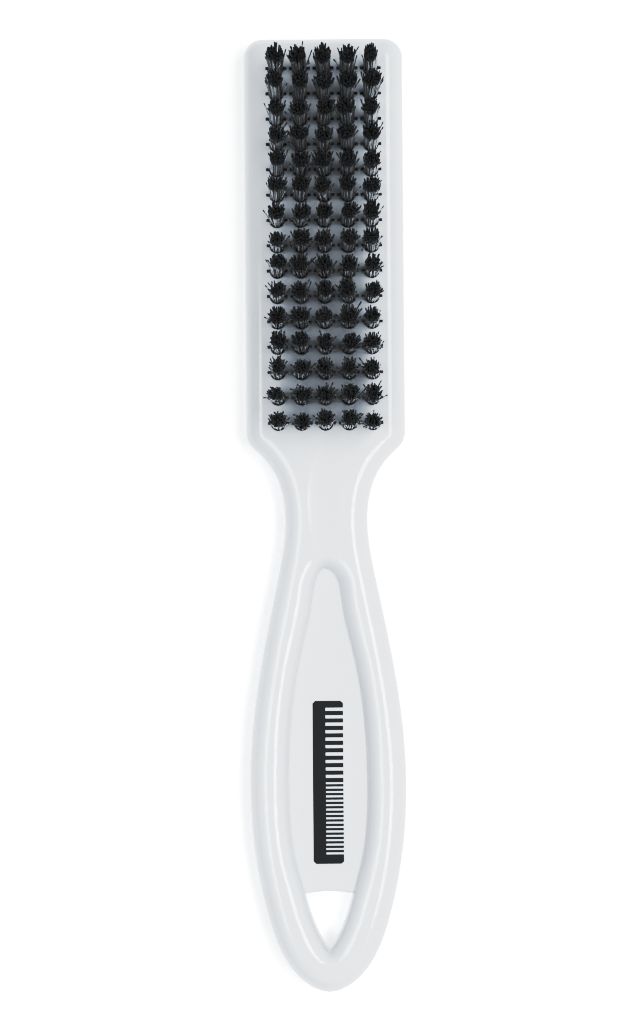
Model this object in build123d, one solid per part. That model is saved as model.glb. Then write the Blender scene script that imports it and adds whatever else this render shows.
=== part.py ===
"""Barber's fade brush: a moulded plastic handle and head with staple-set bristle tufts.

The brush lies on its back. X runs across it, +Y runs along it towards the head end and +Z is the
way the bristles point. The origin is under the middle of the brush, on the plane that it lies on.
All sizes are in millimetres.

The handle, neck and head are one moulding. Each tuft is a bundle of nylon filament folded over
a flat wire anchor, and the anchor is driven into a blind hole in the head, where its two ends cut
a slit in the plastic and hold. Tufts and anchors are written one node for each row of holes.
"""

import os
from math import asin, degrees

from build123d import *

# Driving dimensions of the moulding
LENGTH = 178.0
HEAD_WIDTH = 29.65
THICKNESS = 9.0
EDGE_ROUND = 3.2
HEAD_CORNER = 3.5

# Driving dimensions of the bristle field
ROWS = 15
COLUMNS = 5
ROW_PITCH = 4.72
COLUMN_PITCH = 4.4
FIRST_ROW_INSET = 5.95
BRISTLE_HEIGHT = 15.0
HOLE_RADIUS = 1.42
HOLE_DEPTH = 5.5
ANCHOR_WIDTH = 3.8
ANCHOR_THICKNESS = 0.5
ANCHOR_HEIGHT = 1.8
FOLD_THICKNESS = 0.7
FIT_GAP = 0.02

# Places worked out from them
HEAD_END = LENGTH / 2
BUTT_END = -LENGTH / 2
HALF_HEAD = HEAD_WIDTH / 2
FACE = THICKNESS
HOLE_FLOOR = FACE - HOLE_DEPTH
ANCHOR_FLOOR = HOLE_FLOOR + FOLD_THICKNESS
TIP = FACE + BRISTLE_HEIGHT

# The shoulder, where the head's straight side turns in towards the neck
SHOULDER_Y = 15.4
SHOULDER_RADIUS = 4.0
SHOULDER_TURN = 49.0

# Half the outline from the shoulder round to the butt: neck, grip and rounded end
GRIP_OUTLINE = [
    (10.08, 8.60),
    (7.70, 0.20),
    (9.06, -11.60),
    (12.50, -28.80),
    (14.56, -49.90),
    (11.42, -74.60),
    (8.20, -82.90),
    (4.45, -87.25),
]

# Half the outline of the window inside the grip's rim, from its head end to its narrow tip
WINDOW_TOP = -10.1
WINDOW_TIP = -81.3
WINDOW_OUTLINE = [
    (1.72, -11.45),
    (2.75, -15.60),
    (5.00, -26.30),
    (6.85, -38.00),
    (7.40, -50.00),
    (6.30, -64.00),
    (4.45, -71.00),
    (0.70, -80.53),
]
RIM_INNER_ROUND = 2.9

# The thin web that fills the window as far as the hanging hole
WEB_THICKNESS = 3.0
WEB_FACE = (THICKNESS + WEB_THICKNESS) / 2
WEB_BACK = (THICKNESS - WEB_THICKNESS) / 2
WEB_BITE = 1.2
WEB_END = -70.3
WEB_END_BOW_RADIUS = 24.0
WEB_END_ROUND = 0.45

# The shallow thumb dish on the front of the neck, and the mark that the mould's gate leaves
DISH_Y = 2.3
DISH_DEPTH = 0.22
DISH_HALF_WIDTH = 3.5
DISH_HALF_LENGTH = 11.0
GATE_Y = -26.9
GATE_RADIUS = 0.45
GATE_DEPTH = 0.15

# Shape of one tuft
TUFT_ROOT_RADIUS = HOLE_RADIUS - FIT_GAP
TUFT_MID_RADIUS = 1.52
TUFT_TIP_RADIUS = 1.78
TUFT_CROWN = 0.35
TUFT_FOLD_ROUND = 0.5

STANDING = (Align.CENTER, Align.CENTER, Align.MIN)


def mirrored(points):
    """The same points on the other side of X = 0, in the opposite order."""
    return [(-x, y) for x, y in reversed(points)]


def outline_face():
    """The whole moulding seen from the front."""
    corner_x = HALF_HEAD - HEAD_CORNER
    corner_y = HEAD_END - HEAD_CORNER
    shoulder_x = HALF_HEAD - SHOULDER_RADIUS
    corner = CenterArc((corner_x, corner_y), HEAD_CORNER, 90, -90)
    side = Line((HALF_HEAD, corner_y), (HALF_HEAD, SHOULDER_Y))
    shoulder = CenterArc((shoulder_x, SHOULDER_Y), SHOULDER_RADIUS, 0, -SHOULDER_TURN)
    start = shoulder @ 1
    heading = shoulder % 1
    half_grip = [(start.X, start.Y), *GRIP_OUTLINE]
    grip = Spline(
        [*half_grip, (0, BUTT_END), *mirrored(half_grip)],
        tangents=[(heading.X, heading.Y), (heading.X, -heading.Y)],
        tangent_scalars=(1, 1),
    )
    head_end = Line((-corner_x, HEAD_END), (corner_x, HEAD_END))
    right = Curve() + [corner, side, shoulder]
    left = mirror(right, Plane.YZ)
    return make_face([head_end, *right.edges(), *left.edges(), grip])


def window_face():
    """The opening inside the rim: rounded at its head end and drawn to a narrow tip at the butt."""
    around = [(0, WINDOW_TOP), *WINDOW_OUTLINE, (0, WINDOW_TIP), *mirrored(WINDOW_OUTLINE)]
    return make_face(Spline(around, periodic=True))


def rounded_plate():
    """The plate with both long edges of its outline rounded."""
    plate = extrude(outline_face(), THICKNESS)
    plate = fillet(plate.faces().sort_by(Axis.Z)[-1].edges(), EDGE_ROUND)
    return fillet(plate.faces().sort_by(Axis.Z)[0].edges(), EDGE_ROUND)


def window_rims(body):
    """The two closed edges where the window breaks out of the front and the back."""
    span = window_face().bounding_box()
    return [
        edge
        for edge in body.edges()
        if edge.bounding_box().size.Z < FIT_GAP
        and edge.bounding_box().size.Y > span.size.Y - FIT_GAP
        and edge.bounding_box().max.X < span.max.X + FIT_GAP
    ]


def framed_body():
    """The plate with its window cut through and the window's edges rounded."""
    body = rounded_plate() - extrude(window_face(), THICKNESS)
    return fillet(window_rims(body), RIM_INNER_ROUND)


def web():
    """The thin wall in the window, its lower end bowed towards the head over the hanging hole."""
    plate = extrude(offset(window_face(), WEB_BITE), WEB_THICKNESS)
    below = Cylinder(WEB_END_BOW_RADIUS, WEB_THICKNESS, align=STANDING)
    plate -= below.moved(Location((0, WEB_END - WEB_END_BOW_RADIUS, 0)))
    upper = plate.solids().sort_by(Axis.Y)[-1]
    bow = [edge for edge in upper.edges() if edge.geom_type == GeomType.CIRCLE]
    return fillet(bow, WEB_END_ROUND).moved(Location((0, 0, WEB_BACK)))


def thumb_dish():
    """A long shallow scoop: an arc turned about an axis above the neck that runs along the brush."""
    turn_radius = (DISH_HALF_WIDTH**2 + DISH_DEPTH**2) / (2 * DISH_DEPTH)
    axis_z = FACE + turn_radius - DISH_DEPTH
    end_radius = turn_radius - DISH_DEPTH
    arc = ThreePointArc((-DISH_HALF_LENGTH, -end_radius), (0, -turn_radius), (DISH_HALF_LENGTH, -end_radius))
    rest = Polyline(arc @ 1, (DISH_HALF_LENGTH, 0), (-DISH_HALF_LENGTH, 0), arc @ 0)
    turned = revolve(make_face([arc, *rest.edges()]), Axis.X, 360)
    return turned.rotate(Axis.Z, 90).moved(Location((0, DISH_Y, axis_z)))


def gate_mark():
    """The small round dimple in the web where the plastic entered the mould."""
    dimple = Cylinder(GATE_RADIUS, 2 * GATE_DEPTH)
    return dimple.moved(Location((0, GATE_Y, WEB_FACE)))


def hole_places(row):
    """The X and Y of each hole in a row; row 0 is nearest the head end."""
    y = HEAD_END - FIRST_ROW_INSET - row * ROW_PITCH
    first_x = -COLUMN_PITCH * (COLUMNS - 1) / 2
    return [(first_x + column * COLUMN_PITCH, y) for column in range(COLUMNS)]


def hole_cutters():
    """The blind holes, each with the slit that its anchor's ends cut on the way down."""
    hole = Cylinder(HOLE_RADIUS, HOLE_DEPTH, align=STANDING)
    slit = Box(
        ANCHOR_WIDTH + 2 * FIT_GAP,
        ANCHOR_THICKNESS + 2 * FIT_GAP,
        FACE - ANCHOR_FLOOR,
        align=STANDING,
    )
    cutters = []
    for row in range(ROWS):
        for x, y in hole_places(row):
            cutters.append(hole.moved(Location((x, y, HOLE_FLOOR))))
            cutters.append(slit.moved(Location((x, y, ANCHOR_FLOOR))))
    return cutters


def handle():
    """The one-piece moulding: head, neck, rim and web."""
    moulding = framed_body() + web()
    return moulding - [thumb_dish(), gate_mark(), *hole_cutters()]


def anchor():
    """A short length of flat wire, standing on edge across its hole."""
    wire = Box(ANCHOR_WIDTH, ANCHOR_THICKNESS, ANCHOR_HEIGHT, align=STANDING)
    return wire.moved(Location((0, 0, ANCHOR_FLOOR)))


def tuft():
    """The outer shape of one bundle of filaments, from its fold under the anchor to its tips."""
    floor = HOLE_FLOOR + FIT_GAP
    fold_x = TUFT_ROOT_RADIUS - TUFT_FOLD_ROUND
    edge_z = TIP - TUFT_CROWN
    crown_radius = (TUFT_TIP_RADIUS**2 + TUFT_CROWN**2) / (2 * TUFT_CROWN)
    crown_turn = degrees(asin(TUFT_TIP_RADIUS / crown_radius))
    profile = [
        Line((0, floor), (fold_x, floor)),
        CenterArc((fold_x, floor + TUFT_FOLD_ROUND), TUFT_FOLD_ROUND, -90, 90),
        Line((TUFT_ROOT_RADIUS, floor + TUFT_FOLD_ROUND), (TUFT_ROOT_RADIUS, FACE)),
        ThreePointArc(
            (TUFT_ROOT_RADIUS, FACE),
            (TUFT_MID_RADIUS, (FACE + edge_z) / 2),
            (TUFT_TIP_RADIUS, edge_z),
        ),
        CenterArc((0, TIP - crown_radius), crown_radius, 90 - crown_turn, crown_turn),
        Line((0, TIP), (0, floor)),
    ]
    bundle = revolve(Plane.XZ * make_face(profile), Axis.Z, 360)
    slot = Box(
        3 * HOLE_RADIUS,
        ANCHOR_THICKNESS + 2 * FIT_GAP,
        ANCHOR_HEIGHT + 2 * FIT_GAP,
        align=STANDING,
    )
    return bundle - slot.moved(Location((0, 0, ANCHOR_FLOOR - FIT_GAP)))


def row_of(piece, row):
    """One copy of a piece in each hole of a row, as separate solids."""
    return Compound([piece.moved(Location((x, y, 0))) for x, y in hole_places(row)])


def main():
    os.makedirs("parts", exist_ok=True)
    export_step(handle(), "parts/handle.step")
    one_tuft = tuft().solid()
    one_anchor = anchor().solid()
    for row in range(ROWS):
        export_step(row_of(one_tuft, row), f"parts/tuft_row_{row + 1:02d}.step")
        export_step(row_of(one_anchor, row), f"parts/anchor_row_{row + 1:02d}.step")


main()
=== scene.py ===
"""Looks for the fade brush: white moulded handle, black nylon tufts on wire anchors, plain studio.

Everything is in metres and in the CAD frame: the brush lies on its back, +Y is its head end and
+Z is the way the bristles point.
"""

import math

import bpy
import numpy as np
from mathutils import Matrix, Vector


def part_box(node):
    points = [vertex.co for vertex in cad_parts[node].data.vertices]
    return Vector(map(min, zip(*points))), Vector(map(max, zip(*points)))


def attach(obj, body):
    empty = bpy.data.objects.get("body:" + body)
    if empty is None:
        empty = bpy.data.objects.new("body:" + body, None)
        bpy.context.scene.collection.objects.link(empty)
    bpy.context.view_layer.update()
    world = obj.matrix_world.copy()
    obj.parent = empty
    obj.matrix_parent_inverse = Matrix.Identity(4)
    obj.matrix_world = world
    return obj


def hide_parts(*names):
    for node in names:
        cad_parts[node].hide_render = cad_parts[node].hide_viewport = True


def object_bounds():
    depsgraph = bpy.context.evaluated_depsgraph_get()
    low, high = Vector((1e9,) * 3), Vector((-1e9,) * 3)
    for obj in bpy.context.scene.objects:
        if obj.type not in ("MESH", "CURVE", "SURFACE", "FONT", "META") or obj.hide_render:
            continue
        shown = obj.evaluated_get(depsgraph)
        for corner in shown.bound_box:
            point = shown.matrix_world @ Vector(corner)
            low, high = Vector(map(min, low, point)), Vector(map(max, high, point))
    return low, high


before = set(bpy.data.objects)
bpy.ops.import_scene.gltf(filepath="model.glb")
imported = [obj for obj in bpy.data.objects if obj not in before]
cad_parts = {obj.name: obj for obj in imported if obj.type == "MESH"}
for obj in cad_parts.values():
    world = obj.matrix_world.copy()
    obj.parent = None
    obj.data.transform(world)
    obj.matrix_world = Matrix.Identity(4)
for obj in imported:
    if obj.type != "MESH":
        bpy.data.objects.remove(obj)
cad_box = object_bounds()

MM = 0.001
BODY = "root"
ROWS = 15
COLUMNS = 5
WEB_THICKNESS = 3.0 * MM

# Places read from the frame
face_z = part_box("handle")[1].z
tip_z = cad_box[1].z
mid_z = face_z / 2
web_face_z = mid_z + WEB_THICKNESS / 2
middle_y = (cad_box[0].y + cad_box[1].y) / 2


# ---------------------------------------------------------------- helpers


def add_object(name, data):
    """A new object in the scene that shows the given mesh, light or camera."""
    obj = bpy.data.objects.new(name, data)
    bpy.context.scene.collection.objects.link(obj)
    return obj


def add_mesh(name, points, faces):
    """A new object in the scene, its mesh made of the given points and faces."""
    mesh = bpy.data.meshes.new(name)
    mesh.from_pydata(points, [], faces)
    mesh.update()
    return add_object(name, mesh)


def dress(obj, material):
    """Gives an object one material, in place of any that it has."""
    obj.data.materials.clear()
    obj.data.materials.append(material)


def new_material(name):
    """A node material holding one Principled shader. Returns the material, its tree and the shader."""
    material = bpy.data.materials.new(name)
    material.use_nodes = True
    tree = material.node_tree
    tree.nodes.clear()
    output = tree.nodes.new("ShaderNodeOutputMaterial")
    shader = tree.nodes.new("ShaderNodeBsdfPrincipled")
    tree.links.new(shader.outputs["BSDF"], output.inputs["Surface"])
    return material, tree, shader


def place(tree):
    """The point on the surface in the CAD frame, in metres: every object sits at the origin."""
    return tree.nodes.new("ShaderNodeTexCoord").outputs["Object"]


def height_of(tree):
    """The Z of the point on the surface, in metres."""
    node = tree.nodes.new("ShaderNodeSeparateXYZ")
    tree.links.new(place(tree), node.inputs["Vector"])
    return node.outputs["Z"]


def noise(tree, waves_per_metre, detail, factors=(1.0, 1.0, 1.0)):
    """A smooth random value from 0 to 1 over the surface, long along any axis with a factor under 1."""
    scaled = tree.nodes.new("ShaderNodeVectorMath")
    scaled.operation = "MULTIPLY"
    scaled.inputs[1].default_value = factors
    tree.links.new(place(tree), scaled.inputs[0])
    node = tree.nodes.new("ShaderNodeTexNoise")
    node.inputs["Scale"].default_value = waves_per_metre
    node.inputs["Detail"].default_value = detail
    tree.links.new(scaled.outputs["Vector"], node.inputs["Vector"])
    return node.outputs["Fac"]


def remap(tree, value, source, target):
    """A value carried from one range to another, and kept inside it."""
    node = tree.nodes.new("ShaderNodeMapRange")
    tree.links.new(value, node.inputs["Value"])
    node.inputs["From Min"].default_value = source[0]
    node.inputs["From Max"].default_value = source[1]
    node.inputs["To Min"].default_value = target[0]
    node.inputs["To Max"].default_value = target[1]
    return node.outputs["Result"]


def calculate(tree, operation, *terms):
    """One arithmetic step on one or two values, each a socket or a number."""
    node = tree.nodes.new("ShaderNodeMath")
    node.operation = operation
    for socket, term in zip(node.inputs, terms):
        if isinstance(term, (int, float)):
            socket.default_value = term
        else:
            tree.links.new(term, socket)
    return node.outputs["Value"]


def tint(tree, shader, value, low, high):
    """Colours the surface by a value: each end is a position from 0 to 1 and the colour there."""
    node = tree.nodes.new("ShaderNodeValToRGB")
    for element, (position, colour) in zip(node.color_ramp.elements, (low, high)):
        element.position = position
        element.color = (*colour, 1.0)
    tree.links.new(value, node.inputs["Fac"])
    tree.links.new(node.outputs["Color"], shader.inputs["Base Color"])


def add_bump(tree, shader, layers):
    """Bumps stacked on the shader, each a height value from 0 to 1 and its depth in metres."""
    normal = None
    for height, depth in layers:
        node = tree.nodes.new("ShaderNodeBump")
        node.inputs["Strength"].default_value = 1.0
        node.inputs["Distance"].default_value = depth
        tree.links.new(height, node.inputs["Height"])
        if normal is not None:
            tree.links.new(normal, node.inputs["Normal"])
        normal = node.outputs["Normal"]
    tree.links.new(normal, shader.inputs["Normal"])


# ---------------------------------------------------------------- materials

# The range that nearly all of a noise value lies in
NOISE_SPAN = (0.3, 0.7)


def white_plastic():
    """Glossy moulded plastic: faint flow in its colour, a fine ripple, hair scratches, a parting line."""
    material, tree, shader = new_material("white_plastic")
    flow = noise(tree, 110.0, detail=4.0, factors=(1.0, 0.25, 1.0))
    tint(tree, shader, flow, low=(0.3, (0.730, 0.747, 0.765)), high=(0.7, (0.755, 0.770, 0.786)))
    gloss = remap(tree, noise(tree, 420.0, detail=5.0), NOISE_SPAN, (0.12, 0.17))
    tree.links.new(gloss, shader.inputs["Roughness"])
    shader.inputs["IOR"].default_value = 1.5
    ripple = noise(tree, 260.0, detail=1.0)
    grain = noise(tree, 5200.0, detail=2.0)
    hairs = noise(tree, 3400.0, detail=2.0, factors=(1.0, 0.03, 1.0))
    scratches = remap(tree, hairs, (0.70, 0.76), (1.0, 0.0))
    off_line = calculate(tree, "ABSOLUTE", calculate(tree, "SUBTRACT", height_of(tree), mid_z))
    parting = remap(tree, off_line, (0.02 * MM, 0.11 * MM), (1.0, 0.0))
    add_bump(tree, shader, [
        (ripple, 0.003 * MM),
        (grain, 0.0005 * MM),
        (scratches, 0.0008 * MM),
        (parting, 0.03 * MM),
    ])
    return material


def bristle_nylon():
    """Black nylon monofilament: semi-gloss sides that differ a little in tone, duller cut tips, and
    colour painted lighter down the sides than at the tips as a painted sheen.
    """
    material, tree, shader = new_material("bristle_nylon")
    strand = noise(tree, 2600.0, detail=2.0, factors=(1.0, 1.0, 0.03))
    height = height_of(tree)
    # Painted sheen and painted shadow: the filament colour grows lighter from 0.8 mm to 4.5 mm below the
    # tips, standing in for light that the glossy sides reflect, and the tips are kept dark for their
    # self-shadowing.
    painted_sheen_below_tip = remap(tree, height, (tip_z - 4.5 * MM, tip_z - 0.8 * MM), (1.0, 0.0))
    strand_tone_and_painted_sheen = calculate(tree, "MULTIPLY", strand, painted_sheen_below_tip)
    tint(tree, shader, strand_tone_and_painted_sheen, low=(0.15, (0.024, 0.024, 0.025)), high=(0.62, (0.170, 0.170, 0.175)))
    side_gloss = remap(tree, strand, NOISE_SPAN, (0.10, 0.22))
    near_tip = remap(tree, height, (tip_z - 1.6 * MM, tip_z - 0.5 * MM), (0.0, 0.45))
    tree.links.new(calculate(tree, "ADD", side_gloss, near_tip), shader.inputs["Roughness"])
    shader.inputs["IOR"].default_value = 1.62
    shader.inputs["Sheen Weight"].default_value = 0.65
    shader.inputs["Sheen Roughness"].default_value = 0.35
    drawn = noise(tree, 9000.0, detail=2.0, factors=(1.0, 1.0, 0.08))
    add_bump(tree, shader, [(drawn, 0.0015 * MM)])
    return material


def anchor_wire():
    """Flat steel wire: drawn marks along X and a slightly uneven tone."""
    material, tree, shader = new_material("anchor_wire")
    drawn = noise(tree, 14000.0, detail=3.0, factors=(0.04, 1.0, 1.0))
    tint(tree, shader, drawn, low=(0.3, (0.42, 0.42, 0.43)), high=(0.7, (0.60, 0.60, 0.61)))
    shader.inputs["Metallic"].default_value = 1.0
    tree.links.new(remap(tree, drawn, NOISE_SPAN, (0.28, 0.42)), shader.inputs["Roughness"])
    add_bump(tree, shader, [(drawn, 0.003 * MM)])
    return material


def print_ink():
    """Pad-printed black ink: slightly uneven cover and a low sheen."""
    material, tree, shader = new_material("print_ink")
    cover = noise(tree, 2400.0, detail=4.0)
    tint(tree, shader, cover, low=(0.35, (0.004, 0.004, 0.005)), high=(0.75, (0.012, 0.012, 0.014)))
    tree.links.new(remap(tree, cover, NOISE_SPAN, (0.35, 0.5)), shader.inputs["Roughness"])
    add_bump(tree, shader, [(cover, 0.002 * MM)])
    return material


def studio_paper():
    """Seamless white paper with a faint fibre, lit a little from below as on a light table."""
    material, tree, shader = new_material("studio_paper")
    fibre = noise(tree, 900.0, detail=4.0)
    tint(tree, shader, fibre, low=(0.3, (0.945, 0.945, 0.945)), high=(0.7, (0.965, 0.965, 0.965)))
    shader.inputs["Roughness"].default_value = 0.9
    shader.inputs["Specular IOR Level"].default_value = 0.1
    shader.inputs["Emission Color"].default_value = (1.0, 1.0, 1.0, 1.0)
    shader.inputs["Emission Strength"].default_value = PAPER_GLOW
    return material


# ---------------------------------------------------------------- bristles

# One filament
FILAMENT_RADIUS = 0.105 * MM
FILAMENT_SIDES = 8
FILAMENT_STEPS = 6
BOW_RANGE = (0.85, 1.7)

# One tuft: its roots below the face, and how far its tips flare, lean, scatter and differ in height
FILAMENTS = 96
ROOT_RADIUS = 1.25 * MM
ROOT_DEPTH = 1.0 * MM
GOLDEN_ANGLE = math.pi * (3 - math.sqrt(5))
TIP_FLARE = 1.18
FLARE_SPREAD = 0.10
LEAN_SPREAD = 0.20 * MM
TIP_SCATTER = 0.16 * MM
TRIM_SCATTER = 0.30 * MM

# The strays that stand out sideways: their share, their reach along X and Y, and how much shorter
STRAY_SHARE = 0.07
STRAY_REACH = (0.3 * MM, 1.3 * MM)
STRAY_DRIFT = 0.45 * MM
STRAY_DROP = 0.7 * MM

# How far each column's tips lean along X: the outer ones inwards
COLUMN_LEANS = [0.3 * MM, 0.0, 0.0, 0.0, -0.3 * MM]


def tuft_paths(centre, lean_x, rng):
    """The centrelines of one tuft's filaments: an array of filament, point along it, and X Y Z.

    The roots fill the hole in a sunflower pattern, and the tips lie lean_x further along X.
    """
    index = np.arange(FILAMENTS) + 0.5
    turn = index * GOLDEN_ANGLE + rng.uniform(0, 2 * math.pi)
    spread = ROOT_RADIUS * np.sqrt(index / FILAMENTS)
    root = np.stack([spread * np.cos(turn), spread * np.sin(turn)], axis=1)
    flare = rng.normal(TIP_FLARE, FLARE_SPREAD, 2)
    lean = rng.normal(0, LEAN_SPREAD, 2) + (lean_x, 0.0)
    tip = root * flare + lean + rng.normal(0, TIP_SCATTER, root.shape)
    tip_height = tip_z - np.abs(rng.normal(0, TRIM_SCATTER, FILAMENTS))

    stray = rng.random(FILAMENTS) < STRAY_SHARE
    tip[:, 0] += stray * np.sign(root[:, 0]) * rng.uniform(*STRAY_REACH, FILAMENTS)
    tip[:, 1] += stray * rng.normal(0, STRAY_DRIFT, FILAMENTS)
    tip_height -= stray * rng.uniform(0, STRAY_DROP, FILAMENTS)

    along = np.linspace(0, 1, FILAMENT_STEPS + 1)
    bow = rng.uniform(*BOW_RANGE, FILAMENTS)
    share = along[None, :] ** bow[:, None]
    bottom = face_z - ROOT_DEPTH
    paths = np.empty((FILAMENTS, FILAMENT_STEPS + 1, 3))
    paths[:, :, :2] = root[:, None, :] + (tip - root)[:, None, :] * share[:, :, None] + centre
    paths[:, :, 2] = bottom + (tip_height - bottom)[:, None] * along[None, :]
    return paths


def add_tubes(name, paths):
    """One object of closed tubes along the given centrelines, with smooth sides and flat cut ends."""
    around = np.arange(FILAMENT_SIDES) * 2 * math.pi / FILAMENT_SIDES
    ring = np.stack([np.cos(around), np.sin(around), np.zeros(FILAMENT_SIDES)], axis=1) * FILAMENT_RADIUS
    points = (paths[:, :, None, :] + ring[None, None, :, :]).reshape(-1, 3)
    faces = []
    smooth = []
    for tube in range(len(paths)):
        first = tube * (FILAMENT_STEPS + 1) * FILAMENT_SIDES
        last = first + FILAMENT_STEPS * FILAMENT_SIDES
        for low in range(first, last, FILAMENT_SIDES):
            high = low + FILAMENT_SIDES
            for side in range(FILAMENT_SIDES):
                after = (side + 1) % FILAMENT_SIDES
                faces.append((low + side, low + after, high + after, high + side))
                smooth.append(True)
        faces.append(tuple(range(first + FILAMENT_SIDES - 1, first - 1, -1)))
        faces.append(tuple(range(last, last + FILAMENT_SIDES)))
        smooth += [False, False]
    piece = add_mesh(name, points.tolist(), faces)
    piece.data.polygons.foreach_set("use_smooth", smooth)
    piece.data.update()
    return piece


def bristle_row(number, material):
    """The filaments of one row of tufts, in place of the row's plain CAD solids."""
    node = f"tuft_row_{number:02d}"
    low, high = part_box(node)
    tuft_radius = (high.y - low.y) / 2
    y = (low.y + high.y) / 2
    columns = np.linspace(low.x + tuft_radius, high.x - tuft_radius, COLUMNS)
    rng = np.random.default_rng(number)
    paths = [tuft_paths((x, y), lean, rng) for x, lean in zip(columns, COLUMN_LEANS)]
    piece = add_tubes(f"bristles_row_{number:02d}", np.concatenate(paths))
    dress(piece, material)
    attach(piece, BODY)
    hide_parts(node)


# ---------------------------------------------------------------- print on the web

# The comb's place and size, and its coarse and fine teeth, with one broad tooth at each end
COMB_X = -2.9 * MM
COMB_TOP_Y = -34.8 * MM
COMB_LENGTH = 30.4 * MM
COMB_SPINE = 2.4 * MM
COMB_TOOTH = 3.3 * MM
COMB_END_TOOTH = 1.3 * MM
COMB_CORNER = 0.5 * MM
COMB_TOOTH_CORNER = 0.4 * MM
COARSE_TEETH = 10
FINE_TEETH = 17
GAP_SHARE = 0.42
INK_THICKNESS = 0.03 * MM


def comb_outline():
    """The outline of a plain barber's comb, its spine along Y and its teeth pointing along +X."""
    top = COMB_TOP_Y
    bottom = top - COMB_LENGTH
    inner = COMB_X + COMB_SPINE
    outer = inner + COMB_TOOTH
    points = [
        (COMB_X, top - COMB_CORNER),
        (COMB_X + COMB_CORNER, top),
        (outer - COMB_CORNER, top),
        (outer, top - COMB_TOOTH_CORNER),
    ]
    half = COMB_LENGTH / 2 - COMB_END_TOOTH
    y = top - COMB_END_TOOTH
    for teeth in (COARSE_TEETH, FINE_TEETH):
        pitch = half / teeth
        for _ in range(teeth):
            gap_end = y - pitch * GAP_SHARE
            points += [(outer, y), (inner, y), (inner, gap_end), (outer, gap_end)]
            y -= pitch
    points += [
        (outer, bottom + COMB_TOOTH_CORNER),
        (outer - COMB_CORNER, bottom),
        (COMB_X + COMB_CORNER, bottom),
        (COMB_X, bottom + COMB_CORNER),
    ]
    return points


def comb_print(material):
    """A thin printed pictogram on the web, plain and generic."""
    outline = comb_outline()
    count = len(outline)
    low = [(x, y, web_face_z) for x, y in outline]
    high = [(x, y, web_face_z + INK_THICKNESS) for x, y in outline]
    ends = [tuple(range(count)), tuple(range(2 * count - 1, count - 1, -1))]
    sides = [(i, i + count, (i + 1) % count + count, (i + 1) % count) for i in range(count)]
    piece = add_mesh("comb_print", low + high, ends + sides)
    dress(piece, material)
    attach(piece, BODY)


# ---------------------------------------------------------------- studio

FLOOR_HALF = 3.0
FLOOR_DROP = 0.02 * MM
PAPER_GLOW = 0.33

# How brightly the room shines all round, and what is added overhead, on the right and beyond the head
ROOM_BASE = 0.20
ROOM_OVERHEAD = 0.47
ROOM_OVERHEAD_POWER = 3.0
ROOM_RIGHT = 0.22
ROOM_HEAD = 0.03
ROOM_COLOUR = (0.985, 0.995, 1.0, 1.0)

# The camera's place above the brush, and its tilt and turn in degrees
CAMERA_X = -0.87 * MM
CAMERA_Y = -4.8 * MM
CAMERA_ABOVE_FACE = 450 * MM
CAMERA_TILT = 0.667
CAMERA_TURN = -0.44
CAMERA_LENS = 85.2

# How bright a scene value comes out: deep shadows, a steep middle and whites that level off below the
# paper's. Each point is a scene value and the value it is shown at.
RESPONSE_WHITE = 1.05
RESPONSE = [
    (0.0, 0.0),
    (0.05, 0.018),
    (0.12, 0.052),
    (0.17, 0.13),
    (0.26, 0.38),
    (0.32, 0.505),
    (0.45, 0.65),
    (0.60, 0.77),
    (0.78, 0.83),
    (0.93, 0.93),
    (RESPONSE_WHITE, 1.0),
]

# Light greys are shown a little cool: at this level, red is lowered and blue raised by the cast
CAST_LEVEL = 0.75
COOL_CAST = 0.012


def floor(material):
    """A large pale sheet that the brush lies on."""
    corners = [
        (-FLOOR_HALF, -FLOOR_HALF, -FLOOR_DROP),
        (FLOOR_HALF, -FLOOR_HALF, -FLOOR_DROP),
        (FLOOR_HALF, FLOOR_HALF, -FLOOR_DROP),
        (-FLOOR_HALF, FLOOR_HALF, -FLOOR_DROP),
    ]
    sheet = add_mesh("floor", corners, [(0, 1, 2, 3)])
    dress(sheet, material)


def softbox(name, eye, width, length, power):
    """A soft light that points at the middle of the brush, its length running along the brush."""
    data = bpy.data.lights.new(name, "AREA")
    data.shape = "RECTANGLE"
    data.size = width
    data.size_y = length
    data.energy = power
    light = add_object(name, data)
    light.location = eye
    aim = Vector((0, middle_y, face_z)) - Vector(eye)
    light.rotation_euler = aim.to_track_quat("-Z", "X").to_euler()
    light.visible_camera = False


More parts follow.
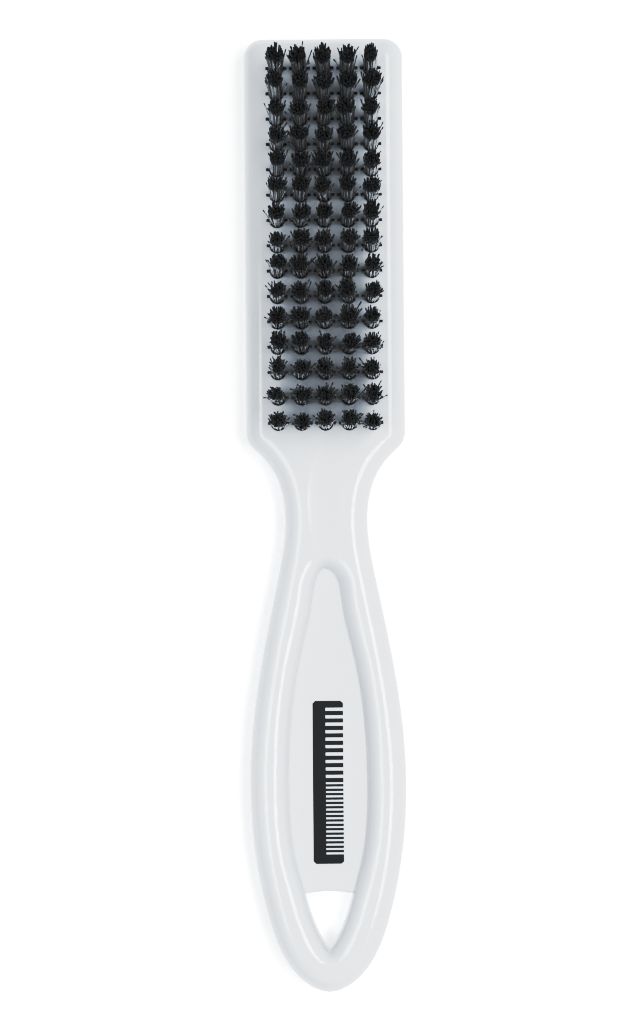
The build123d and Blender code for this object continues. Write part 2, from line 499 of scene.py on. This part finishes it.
def surroundings():
    """A pale room, brightest straight overhead and brighter on the right than on the left."""
    world = bpy.data.worlds.new("studio")
    bpy.context.scene.world = world
    world.use_nodes = True
    tree = world.node_tree
    background = tree.nodes["Background"]
    split = tree.nodes.new("ShaderNodeSeparateXYZ")
    tree.links.new(tree.nodes.new("ShaderNodeTexCoord").outputs["Generated"], split.inputs["Vector"])
    upward = calculate(tree, "POWER", split.outputs["Z"], ROOM_OVERHEAD_POWER)
    overhead = calculate(tree, "MULTIPLY", upward, ROOM_OVERHEAD)
    to_right = calculate(tree, "MULTIPLY", split.outputs["X"], ROOM_RIGHT)
    to_head = calculate(tree, "MULTIPLY", split.outputs["Y"], ROOM_HEAD)
    level = ROOM_BASE
    for extra in (overhead, to_right, to_head):
        level = calculate(tree, "ADD", level, extra)
    tree.links.new(level, background.inputs["Strength"])
    background.inputs["Color"].default_value = ROOM_COLOUR


def camera():
    """Above the brush, a little nearer its butt than its head, aimed at its middle, turned a touch."""
    data = bpy.data.cameras.new("camera")
    data.sensor_width = 36.0
    data.lens = CAMERA_LENS
    data.clip_start = 0.01
    eye = add_object("camera", data)
    eye.location = (CAMERA_X, CAMERA_Y, face_z + CAMERA_ABOVE_FACE)
    eye.rotation_euler = (math.radians(CAMERA_TILT), 0.0, math.radians(CAMERA_TURN))
    bpy.context.scene.camera = eye


def print_response():
    """Shows the scene as a contrasty, slightly cool catalogue print would."""
    view = bpy.context.scene.view_settings
    view.view_transform = "Standard"
    view.use_curve_mapping = True
    mapping = view.curve_mapping
    mapping.white_level = (RESPONSE_WHITE, RESPONSE_WHITE, RESPONSE_WHITE)
    red, _, blue, combined = mapping.curves
    for scene_value, shown in RESPONSE[1:-1]:
        combined.points.new(scene_value / RESPONSE_WHITE, shown)
    red.points.new(CAST_LEVEL, CAST_LEVEL - COOL_CAST)
    blue.points.new(CAST_LEVEL, CAST_LEVEL + COOL_CAST)
    mapping.update()


# ---------------------------------------------------------------- the scene

dress(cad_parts["handle"], white_plastic())
nylon = bristle_nylon()
wire = anchor_wire()
for row in range(1, ROWS + 1):
    dress(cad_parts[f"anchor_row_{row:02d}"], wire)
    bristle_row(row, nylon)
comb_print(print_ink())

floor(studio_paper())
surroundings()
softbox("right_strip", eye=(0.30, 0.0, 0.88), width=0.23, length=0.6, power=2.8)
softbox("left_strip", eye=(-0.29, -0.10, 0.88), width=0.23, length=0.44, power=1.7)
camera()
print_response()
